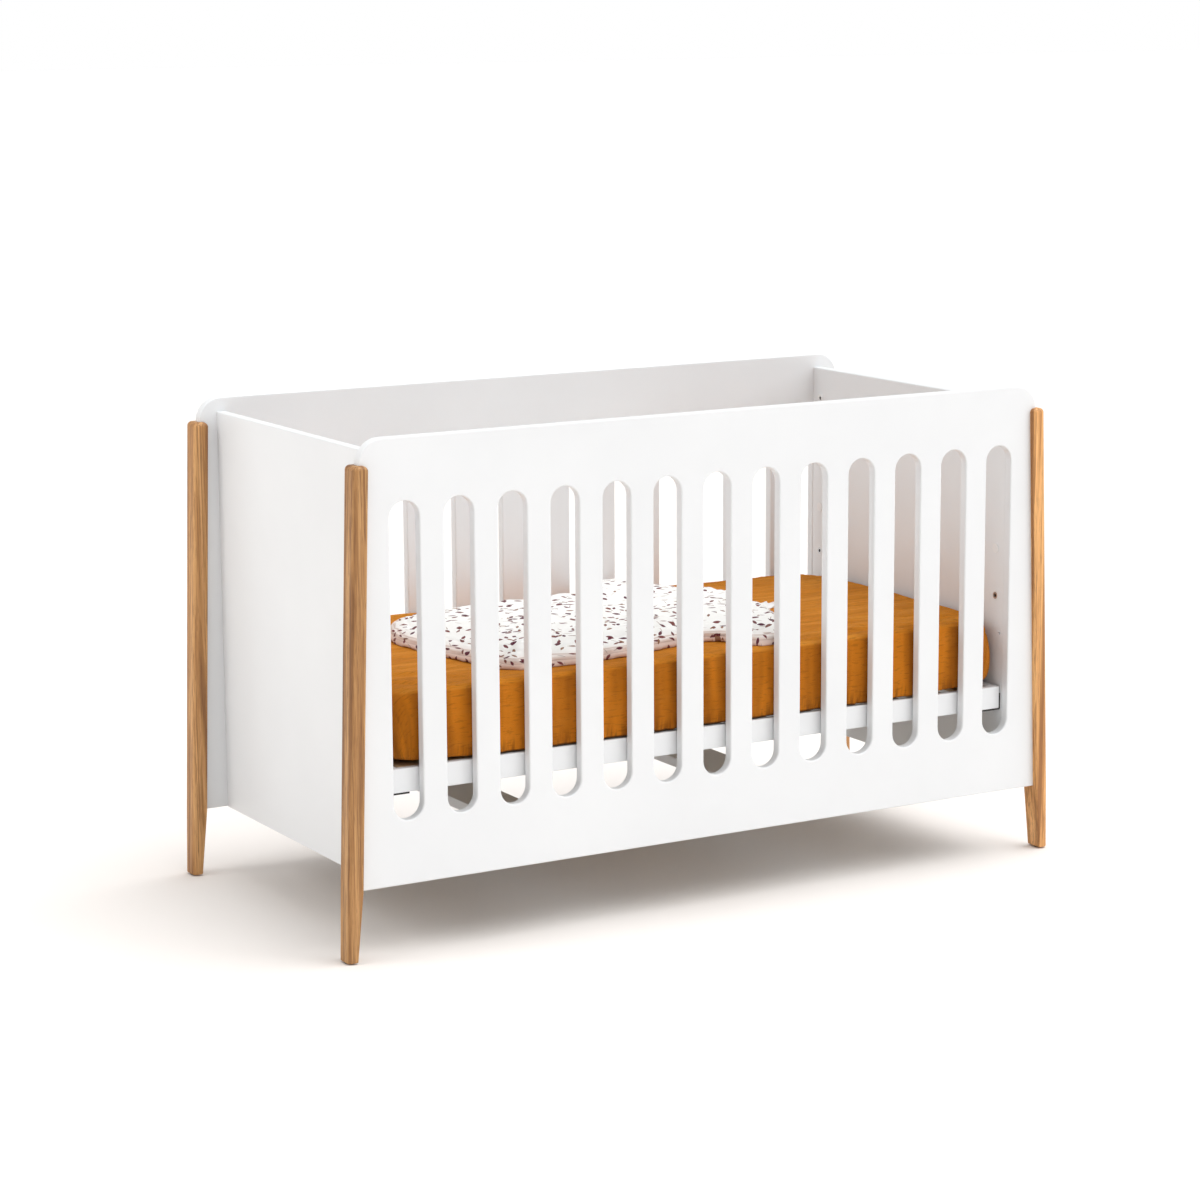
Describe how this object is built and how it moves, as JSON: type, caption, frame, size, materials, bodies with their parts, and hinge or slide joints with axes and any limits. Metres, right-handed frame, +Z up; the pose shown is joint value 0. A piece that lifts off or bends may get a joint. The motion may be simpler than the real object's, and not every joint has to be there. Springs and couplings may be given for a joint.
{
  "type": "baby crib",
  "caption": "Baby crib with slotted white side panels, plain ends, splayed oak legs, a height-adjustable slatted base, a mattress in a fitted sheet and a padded sleeping bag.",
  "frame": {"origin": "on the floor, at the middle of the crib", "axes": "+X along the crib to the right, +Y from the front side to the back side, +Z up"},
  "size_m": [1.4138, 0.668, 0.85],
  "materials": {
    "white_lacquer": "satin white lacquer on board",
    "oak": "oiled oak with visible grain",
    "beech": "bare beech",
    "zinc_steel": "zinc-plated steel",
    "black_steel": "black coated steel",
    "cast_zinc": "die-cast zinc",
    "cap_plastic": "moulded white plastic",
    "glide_plastic": "dark moulded plastic",
    "mattress_cover": "quilted white cotton",
    "ochre_jersey": "ochre cotton sheet",
    "printed_cotton": "white cotton with a small leaf print",
    "white_cotton": "white gathered cotton"
  },
  "bodies": {
    "crib_frame": {"back_panel": "white_lacquer", "bracket_back_left": "black_steel", "bracket_back_right": "black_steel", "bracket_bolts": "black_steel", "bracket_front_left": "black_steel", "bracket_front_right": "black_steel", "cam_caps": "cap_plastic", "cam_housings": "cast_zinc", "cam_pins": "zinc_steel", "end_panel_dowels": "beech", "foot_glides": "glide_plastic", "front_panel": "white_lacquer", "left_end_panel": "white_lacquer", "leg_back_left": "oak", "leg_back_right": "oak", "leg_dowels": "beech", "leg_front_left": "oak", "leg_front_right": "oak", "right_end_panel": "white_lacquer", "stretcher_dowels": "beech", "stretcher_left": "white_lacquer", "stretcher_right": "white_lacquer", "threaded_inserts": "zinc_steel"},
    "bed_base": {"base_back_rail": "white_lacquer", "base_dowels": "beech", "base_front_rail": "white_lacquer", "base_left_rail": "white_lacquer", "base_right_rail": "white_lacquer", "slat_01": "beech", "slat_02": "beech", "slat_03": "beech", "slat_04": "beech", "slat_05": "beech", "slat_06": "beech", "slat_07": "beech", "slat_08": "beech", "slat_09": "beech", "slat_10": "beech", "slat_11": "beech", "slat_12": "beech", "slat_13": "beech", "slat_screws": "zinc_steel"},
    "mattress_set": {"fitted_sheet": "ochre_jersey", "mattress": "mattress_cover"},
    "bag": {"bag_ruffle_back": "white_cotton", "bag_ruffle_front": "white_cotton", "sleeping_bag": "printed_cotton"}
  },
  "joints": [
    {"name": "base_height", "type": "slide", "parent": "crib_frame", "child": "bed_base", "axis": [0, 0, 1], "range_m": [0, 0.188]},
    {"name": "mattress_lift", "type": "slide", "parent": "bed_base", "child": "mattress_set", "axis": [0, 0, 1], "range_m": [0, 0.54]},
    {"name": "bag_lift", "type": "slide", "parent": "mattress_set", "child": "bag", "axis": [0, 0, 1], "range_m": [0, 0.42]}
  ]
}
